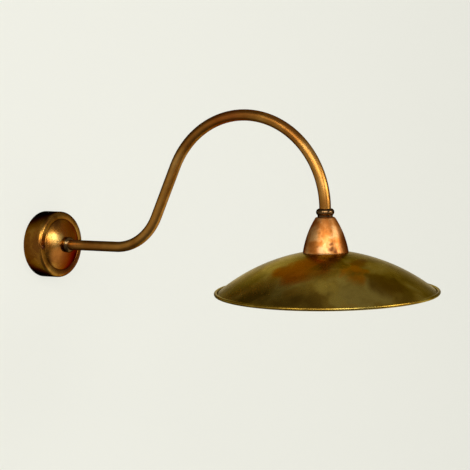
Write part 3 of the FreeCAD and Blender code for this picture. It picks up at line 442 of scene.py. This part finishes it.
# Turned and spun brass, satin, with little ageing, because the shade keeps hands off it.
holder_metal = aged_metal(
    "satin_brass_turned", ("#8A6430", "#A07A3E", "#B08A4C"), 24, (0.28, 0.38), "#4A3A20",
    relief=0.03, stain=0.3,
)
ring = spun(
    "clamp_ring",
    [
        (20.1, -46.2), (26.5, -46.2), (26.5, -48.2), (24.4, -48.2), (24.0, -48.6), (24.0, -49.6),
        (23.5, -50.1), (24.0, -50.6), (24.0, -51.6), (23.4, -52.2), (20.1, -52.2),
    ],
    "lamp", holder_metal, edge=0.25, around=120,
)
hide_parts("shade_ring")
skirt = spun(
    "skirt",
    [
        (18.0, -30.0), (20.0, -30.0), (20.0, -43.6), (24.0, -43.6), (24.0, -45.1), (20.0, -45.1),
        (20.0, -53.2), (19.7, -53.6), (20.0, -54.0), (20.0, -61.2), (19.2, -62.0), (16.7, -62.0),
        (16.7, -61.2), (18.0, -61.2), (18.0, -34.5), (16.5, -34.5), (16.5, -33.0), (18.0, -33.0),
    ],
    "lamp", holder_metal, edge=0.2, around=120,
)
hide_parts("holder_skirt")

# ------------------------------------------------------------------ globe lamp
# A small opal globe on a nickel-plated screw cap. The glass is milky all through, so nothing
# shows inside it.

# Opal glass, blown: warm white, glossy, and soft at its edges where light sinks in.
opal, shader = new_material("opal_glass_milky")
shader.inputs["Base Color"].default_value = colour("#F1EEE6")
shader.inputs["Roughness"].default_value = 0.12
shader.inputs["Subsurface Weight"].default_value = 0.3
shader.inputs["Subsurface Radius"].default_value = (0.004, 0.004, 0.0035)
shader.inputs["Coat Weight"].default_value = 0.6
globe = spun(
    "globe",
    [
        (11.5, -57.3), (12.4, -57.3), (12.4, -61.9), (13.0, -61.9), (17.486, -73.6, 17.4, 1),
        (22.5, -87.76, 22.5, -1), (0.0, -110.26, 22.5, -1), (0.0, -109.36), (21.6, -87.76, 21.6, 1),
        (16.786, -74.167, 21.6, 1), (12.1, -62.8, 18.3, -1), (11.5, -61.9),
    ],
    "lamp", opal, edge=0, around=96, body="bulb",
)
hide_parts("lamp_glass")

# ------------------------------------------------------------------ lamp cap
# The lamp's cap is thin brass, rolled with a coarse screw thread and nickel-plated. A black
# glass disc and a solder eyelet close its top.

# Nickel plate on brass: warm grey and bright, duller in its small stains.
nickel = aged_metal(
    "nickel_plated_brass", ("#A8A49A", "#BAB6AC", "#C6C2B8"), 9, (0.18, 0.3), "#808080",
    relief=0.03, stain=0.25,
)
thread_pitch, thread_turns = 3.63, 3
thread = drawn([
    (12.2, -56.0), (12.7, -55.4), (13.0, -54.5), (12.7, -53.6), (12.2, -53.0), (11.95, -54.5),
    (12.2, -56.0),
])
bpy.ops.mesh.remove_doubles(threshold=WELD)
bpy.ops.object.mode_set(mode="OBJECT")
coil = thread.modifiers.new("thread", "SCREW")
coil.axis, coil.screw_offset = "Z", thread_pitch / 1000
coil.iterations, coil.steps = thread_turns, 72
bpy.ops.object.modifier_apply(modifier="thread")
bpy.ops.object.mode_set(mode="EDIT")
bpy.ops.mesh.select_all(action="SELECT")
bpy.ops.mesh.fill_holes(sides=0)
bpy.ops.object.mode_set(mode="OBJECT")
set_in_place(thread, "lamp")
cap = spun(
    "lamp_screw_cap",
    [
        (9.4, -39.8), (10.6, -39.8), (12.2, -41.4), (12.2, -56.0), (13.0, -56.8), (13.0, -61.8),
        (12.5, -61.8), (12.5, -57.2), (11.7, -56.4), (11.7, -41.8), (10.4, -40.3), (9.4, -40.3),
    ],
    "lamp", nickel, edge=0.15, around=96, body="bulb",
)
thread.select_set(True)
bpy.ops.object.join()
finish_piece(cap, "lamp_screw_cap", nickel, "bulb")
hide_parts("lamp_cap")

# ------------------------------------------------------------------ what the covers hide
# The steel bracket, nuts and nipples, the wiring and its block, and the porcelain and contacts
# of the lampholder keep their solids, because their shapes are right. They get their finishes.


def plain_finish(name, tints, grain, rough, metal=0.0, relief=0.1, **settings):
    """A finish of two close tones in grains of a size in mm, with the unevenness of its making."""
    material, shader = new_material(name)
    place = add(material, "ShaderNodeTexCoord").outputs["Object"]
    grains = add(material, "ShaderNodeTexNoise", Vector=place, Scale=1000 / grain,
                 Detail=4.0).outputs[0]
    tone = add(material, "ShaderNodeValToRGB", Fac=grains,
               stops=((0.35, colour(tints[0])), (0.65, colour(tints[1])))).outputs[0]
    link(material, tone, shader.inputs["Base Color"])
    spread = add(material, "ShaderNodeMapRange", _0=grains, _1=0.3, _2=0.7, _3=rough[0],
                 _4=rough[1])
    link(material, spread.outputs[0], shader.inputs["Roughness"])
    bump = add(material, "ShaderNodeBump", Strength=relief, Distance=0.0002, Height=grains)
    link(material, bump.outputs[0], shader.inputs["Normal"])
    shader.inputs["Metallic"].default_value = metal
    for key, value in settings.items():
        shader.inputs[key.replace("_", " ")].default_value = value
    return material, shader


def striped_cores(name, tones, slant):
    """Smooth PVC sleeves whose colours change across x, at slanting limits in mm."""
    material, shader = plain_finish(name, ("#FFFFFF", "#FFFFFF"), 3, (0.3, 0.4))
    place = add(material, "ShaderNodeTexCoord").outputs["Object"]
    axes = add(material, "ShaderNodeSeparateXYZ", _0=place)
    across = add(material, "ShaderNodeMath", {"operation": "MULTIPLY_ADD"}, _0=axes.outputs[2],
                 _1=-slant, _2=axes.outputs[0]).outputs[0]
    tone = colour(tones[0])
    for limit, next_tone in tones[1:]:
        past = add(material, "ShaderNodeMath", {"operation": "GREATER_THAN"}, _0=across,
                   _1=limit / 1000)
        tone = add(material, "ShaderNodeMix", {"data_type": "RGBA"}, _0=past.outputs[0], _6=tone,
                   _7=colour(next_tone)).outputs[2]
    link(material, tone, shader.inputs["Base Color"])
    return material


# Plated steel is cool grey, brass pale gold, tin and solder dull grey. The moulded block and the
# sheath are off-white plastic, the porcelain is glazed, the sleeve matt, and the glass black.
zinc, _ = plain_finish("zinc_plated_steel", ("#8E9094", "#A8AAAE"), 5, (0.3, 0.42), 1.0)
bright_brass, _ = plain_finish("bright_brass_turned", ("#B08C48", "#C8A45C"), 4, (0.2, 0.3), 1.0)
tin, _ = plain_finish("tin_plated_copper", ("#A8A8A4", "#BCBCB8"), 3, (0.25, 0.35), 1.0)
solder, _ = plain_finish("solder_tin_lead", ("#8C8C8A", "#A0A09C"), 2, (0.35, 0.5), 1.0)
block_nylon, _ = plain_finish("polyamide_moulded_white", ("#D8D6CC", "#E2E0D8"), 4, (0.35, 0.45))
lead_pvc, _ = plain_finish("pvc_sheath_extruded", ("#D4D2CA", "#DCDAD4"), 6, (0.4, 0.5))
porcelain, _ = plain_finish("porcelain_glazed", ("#E4E0D4", "#ECE8DE"), 8, (0.1, 0.2),
                            Coat_Weight=0.5)
liner_board, _ = plain_finish("ceramic_sleeve_matt", ("#D6D0C0", "#E0DACC"), 2, (0.55, 0.7))
black_glass, _ = plain_finish("vitrite_black_glass", ("#100E10", "#1A181C"), 3, (0.08, 0.16))
hidden_brass = aged_metal(
    "brass_spun_unrubbed", ("#6A4A20", "#80602E", "#94723C"), 20, (0.3, 0.4), "#3A2A14",
    relief=0.03,
)
# The wires are brown and blue, and the earth wire is green-yellow, in one tone at its size.
core_pvc = striped_cores(
    "pvc_cores_brown_blue_earth", ["#5A3018", (0, "#2A5AA0"), (4.6, "#A8B02C")], 0.28
)
lamp_core_pvc = striped_cores("pvc_cores_brown_blue", ["#2A5AA0", (0, "#5A3018")], 0.0)
finishes = (
    (zinc, ("mounting_bracket", "root_washer", "root_locknut", "root_nipple", "lamp_nipple",
            "lamp_locknut", "block_screws", "earth_washer", "earth_screw")),
    (bright_brass, ("terminal_barrels", "terminal_screws", "holder_screws", "screw_shell",
                    "centre_contact")),
    (tin, ("earth_tag",)), (solder, ("lamp_eyelet",)), (block_nylon, ("terminal_block",)),
    (lead_pvc, ("inner_lead",)), (porcelain, ("holder_core",)), (liner_board, ("skirt_liner",)),
    (black_glass, ("lamp_insulator",)), (hidden_brass, ("holder_cap",)),
    (core_pvc, ("rose_cores",)), (lamp_core_pvc, ("holder_cores",)),
)
for finish, names in finishes:
    for node in names:
        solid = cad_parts[node]
        solid.data.materials.clear()
        solid.data.materials.append(finish)

# ------------------------------------------------------------------ the room
# A pale wall and floor, three soft lamps from the left and in front, and a dim room. The wall
# is clear from behind, so that the back of the rose can be seen.

pale, shader = new_material("pale_matt_paint")
place = add(pale, "ShaderNodeTexCoord").outputs["Object"]
axes = add(pale, "ShaderNodeSeparateXYZ", _0=place)
# The camera sees an even pale wall. In the metal's reflections it is dimmer: dark near the light,
# paler in a band that widens to the left, and palest far right, up to the light's own height.
left = add(pale, "ShaderNodeMapRange", {"interpolation_type": "SMOOTHSTEP"}, _0=axes.outputs[0],
           _1=0.0, _2=-0.06)
height = add(pale, "ShaderNodeMath", {"operation": "ABSOLUTE"}, _0=axes.outputs[2])
aside = add(pale, "ShaderNodeMath", {"operation": "SUBTRACT"}, _0=0.06, _1=axes.outputs[0])
slope = add(pale, "ShaderNodeMath", {"operation": "DIVIDE"}, _0=height.outputs[0],
            _1=aside.outputs[0])
band = add(pale, "ShaderNodeMapRange", {"interpolation_type": "SMOOTHSTEP"}, _0=slope.outputs[0],
           _1=0.3, _2=1.1, _3=1.0, _4=0.1)
left = add(pale, "ShaderNodeMath", {"operation": "MULTIPLY"}, _0=left.outputs[0],
           _1=band.outputs[0])
right = add(pale, "ShaderNodeMapRange", {"interpolation_type": "SMOOTHSTEP"}, _0=axes.outputs[0],
            _1=0.12, _2=0.42)
low = add(pale, "ShaderNodeMapRange", {"interpolation_type": "SMOOTHSTEP"}, _0=axes.outputs[2],
          _1=0.05, _2=0.55, _3=1.0, _4=0.0)
dim = add(pale, "ShaderNodeMix", {"data_type": "RGBA"}, _0=left.outputs[0], _6=colour("#50504A"),
          _7=colour("#AEAEA4")).outputs[2]
far = add(pale, "ShaderNodeMix", {"data_type": "RGBA"}, _0=low.outputs[0], _6=colour("#A2A298"),
          _7=colour("#F2F2E8")).outputs[2]
dim = add(pale, "ShaderNodeMix", {"data_type": "RGBA"}, _0=right.outputs[0], _6=dim,
          _7=far).outputs[2]
paths = add(pale, "ShaderNodeLightPath")
tone = add(pale, "ShaderNodeMix", {"data_type": "RGBA"}, _0=paths.outputs["Is Glossy Ray"],
           _6=colour("#F2F2E8"), _7=dim).outputs[2]
link(pale, tone, shader.inputs["Base Color"])
shader.inputs["Roughness"].default_value = 0.9
shader.inputs["Specular IOR Level"].default_value = 0.0
glow = add(pale, "ShaderNodeEmission", Color=tone, Strength=1.0)
seen = add(pale, "ShaderNodeMath", {"operation": "MAXIMUM"}, _0=paths.outputs["Is Camera Ray"],
           _1=paths.outputs["Is Glossy Ray"])
own_glow = 0.84  # the share of the wall's tone that doesn't depend on the lamps
share = add(pale, "ShaderNodeMath", {"operation": "MULTIPLY"}, _0=seen.outputs[0], _1=own_glow)
lit = add(pale, "ShaderNodeMixShader", _0=share.outputs[0], _1=shader.outputs[0],
          _2=glow.outputs[0])
behind = add(pale, "ShaderNodeNewGeometry").outputs["Backfacing"]
nothing = add(pale, "ShaderNodeBsdfTransparent")
sided = add(pale, "ShaderNodeMixShader", _0=behind, _1=lit.outputs[0], _2=nothing.outputs[0])
link(pale, sided.outputs[0], pale.node_tree.nodes["Material Output"].inputs[0])

deselect()
room_size, wall_gap, floor_height = 12, 0.0005, -1.1
bpy.ops.mesh.primitive_plane_add(
    size=room_size, location=(0, wall_gap, 0), rotation=(math.pi / 2, 0, 0)
)
bpy.ops.object.transform_apply(location=True, rotation=True)
room_wall = bpy.context.object
room_wall.name = "room_wall"
bpy.ops.mesh.primitive_plane_add(size=room_size, location=(0, -5.9, floor_height))
bpy.ops.object.transform_apply(location=True)
room_floor = bpy.context.object
room_floor.name = "room_floor"
for surface in (room_wall, room_floor):
    surface.data.materials.append(pale)


def soft_lamp(name, place, target, size, power):
    """A white softbox at a place in metres, turned to its target, with its power in watts."""
    deselect()
    bpy.ops.object.light_add(type="AREA", location=place)
    lamp = bpy.context.object
    lamp.name = name
    lamp.data.shape, lamp.data.size, lamp.data.size_y = "RECTANGLE", *size
    lamp.data.energy = power
    way = Vector(target) - Vector(place)
    lamp.rotation_euler = way.to_track_quat("-Z", "Y").to_euler()


middle = (0, -0.3, 0.05)
soft_lamp("softbox_left", (-1.5, -0.25, 0.8), middle, (0.6, 0.9), 6)
soft_lamp("softbox_front", (0.2, -1.95, 0.46), middle, (0.8, 0.6), 11)
soft_lamp("softbox_fill", (-1.45, -1.45, 0.9), middle, (1.5, 0.8), 20)

world = bpy.data.worlds.new("dim_room")
bpy.context.scene.world = world
world.use_nodes = True
dim_air = world.node_tree.nodes["Background"]
dim_air.inputs[0].default_value = (0.5, 0.5, 0.48, 1)
dim_air.inputs[1].default_value = 0.42
# Past the edges of the wall and floor the camera sees the same pale tone as theirs.
pale_air = add(world, "ShaderNodeBackground", Color=colour("#EDEDE3"), Strength=1.0)
rays = add(world, "ShaderNodeLightPath")
air = add(world, "ShaderNodeMixShader", _0=rays.outputs["Is Camera Ray"], _1=dim_air.outputs[0],
          _2=pale_air.outputs[0])
link(world, air.outputs[0], world.node_tree.nodes["World Output"].inputs[0])

# ------------------------------------------------------------------ camera
# A long lens, a little above the light and on its left, rolled by a little over a degree. Its
# place and lens come from the outlines of the rose, arm and shade in the photo.

picture_width, focal_pixels = 470, 1075.36
target, camera_distance = Vector((0, -0.33349, 0.02296)), 1.44585
azimuth, elevation, roll = [math.radians(v) for v in (-58.757, 5.312, -1.263)]
back = Vector((
    math.sin(azimuth) * math.cos(elevation),
    -math.cos(azimuth) * math.cos(elevation),
    math.sin(elevation),
))
level = Vector((math.cos(azimuth), math.sin(azimuth), 0))
upright = back.cross(level)
right = math.cos(roll) * level + math.sin(roll) * upright
up = math.cos(roll) * upright - math.sin(roll) * level
bpy.ops.object.camera_add()
camera = bpy.context.object
camera.data.sensor_width = 36
camera.data.lens = focal_pixels * camera.data.sensor_width / picture_width
turned_to = Matrix((right, up, back)).transposed().to_4x4()
camera.matrix_world = Matrix.Translation(target + back * camera_distance) @ turned_to
bpy.context.scene.camera = camera
bpy.context.scene.view_settings.view_transform = "Standard"
